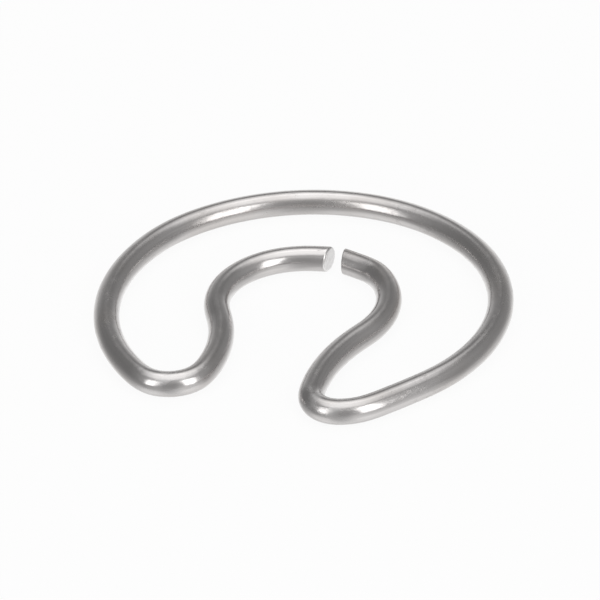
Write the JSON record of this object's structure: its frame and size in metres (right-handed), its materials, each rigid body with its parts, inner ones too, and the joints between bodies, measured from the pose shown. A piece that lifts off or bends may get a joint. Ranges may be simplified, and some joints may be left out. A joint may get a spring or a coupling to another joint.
{
  "type": "retaining clip",
  "caption": "Flat bent-wire retaining clip: an open outer ring turns back at hairpins into spring fingers that close round a grooved shaft.",
  "frame": {"origin": "centre of the shaft seat, in the middle plane of the wire", "axes": "+Z is square to the clip's plane, up as it lies; the mouth between the hairpins opens towards -Y"},
  "size_m": [0.026, 0.0248, 0.0016],
  "materials": {
    "bright_wire": "bright drawn stainless spring wire"
  },
  "bodies": {
    "root": {"clip_wire": "bright_wire"}
  },
  "joints": []
}
